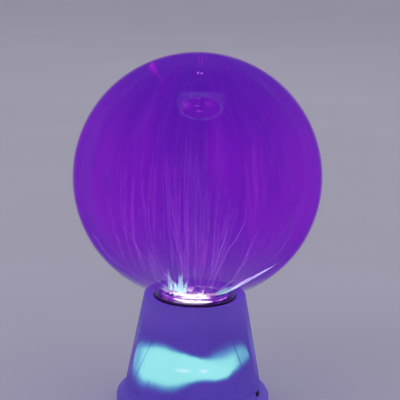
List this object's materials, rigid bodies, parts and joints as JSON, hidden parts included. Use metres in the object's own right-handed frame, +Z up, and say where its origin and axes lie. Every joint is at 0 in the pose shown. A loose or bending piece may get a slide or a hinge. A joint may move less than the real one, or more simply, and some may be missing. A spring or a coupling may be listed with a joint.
{
  "type": "plasma ball",
  "caption": "Sealed clear glass globe seated through a dark ring on a tapered frosted base with a flared foot, inner lamps, a side slide switch and a rear power socket.",
  "frame": {"origin": "on the axis of the globe and base, at the plane of the rubber feet's undersides", "axes": "+Z up along the axis, -Y to the front, +X to the right; the slide switch is on the right-hand side and the power socket faces +Y, to the rear"},
  "size_m": [0.2, 0.2, 0.298],
  "materials": {
    "clear_glass": "clear blown glass",
    "nickelled_steel": "nickel plated spun sheet",
    "brass_terminal": "turned brass",
    "black_plastic": "moulded, fine texture",
    "black_chrome": "dark polished metal",
    "black_rubber": "moulded rubber",
    "zinc_steel": "zinc plated",
    "frosted_plastic": "frosted translucent plastic lit from inside",
    "green_board": "solder mask",
    "ferrite": "pressed ferrite",
    "nylon": "moulded nylon",
    "taped_winding": "polyester tape over enamelled wire",
    "copper_winding": "enamelled copper wire",
    "sink_aluminium": "extruded",
    "black_epoxy": "moulded epoxy",
    "capacitor_sleeve": "shrink sleeve",
    "film_plastic": "dipped film capacitor",
    "resistor_ceramic": "lacquered resistor",
    "white_plastic": "moulded",
    "white_board": "white solder mask",
    "cyan_lamp": "lamp lens",
    "milky_plastic": "milky diffuser",
    "slider_plastic": "moulded, fine texture",
    "red_wire": "silicone insulation",
    "black_wire": "wire insulation",
    "white_wire": "wire insulation"
  },
  "bodies": {
    "base": {"base_plinth": "frosted_plastic", "base_shell": "frosted_plastic", "board_screws": "zinc_steel", "bottom_cover": "black_plastic", "clamp_screws": "zinc_steel", "cover_screws": "zinc_steel", "diffuser_sleeve": "milky_plastic", "driver_board": "green_board", "electrode_boot": "black_rubber", "electrode_carrier": "black_plastic", "electrode_dish": "nickelled_steel", "electrode_stud": "brass_terminal", "filter_capacitors": "capacitor_sleeve", "foot_front_left": "black_rubber", "foot_front_right": "black_rubber", "foot_rear_left": "black_rubber", "foot_rear_right": "black_rubber", "glass_globe": "clear_glass", "glass_stem": "clear_glass", "heat_sink": "sink_aluminium", "high_voltage_lead": "red_wire", "input_choke": "copper_winding", "lamp_board_front": "white_board", "lamp_board_rear": "white_board", "lamp_bracket_front": "white_plastic", "lamp_bracket_rear": "white_plastic", "lamp_leads_front": "white_wire", "lamp_leads_rear": "white_wire", "lamps_front": "cyan_lamp", "lamps_rear": "cyan_lamp", "microphone_capsule": "sink_aluminium", "microphone_grommet": "black_rubber", "neck_clamp": "black_plastic", "neck_pad": "black_rubber", "neck_ring": "black_chrome", "power_socket": "black_plastic", "power_transistor": "black_epoxy", "primary_winding": "copper_winding", "resistors": "resistor_ceramic", "resonant_capacitor": "film_plastic", "seat_gasket": "black_rubber", "secondary_winding": "taped_winding", "shell_screws": "zinc_steel", "socket_leads": "black_wire", "socket_nut": "zinc_steel", "switch_case": "black_epoxy", "switch_leads": "white_wire", "switch_plate": "zinc_steel", "switch_screws": "zinc_steel", "timer_chip": "black_epoxy", "transformer_core": "ferrite", "transformer_mount": "black_plastic", "transformer_spool": "nylon", "transistor_screw": "zinc_steel"},
    "slider": {"switch_slider": "slider_plastic"}
  },
  "joints": [
    {"name": "switch_slide", "type": "slide", "parent": "base", "child": "slider", "axis": [0.3256, 0.9455, 0], "range_m": [0, 0.0044]}
  ]
}
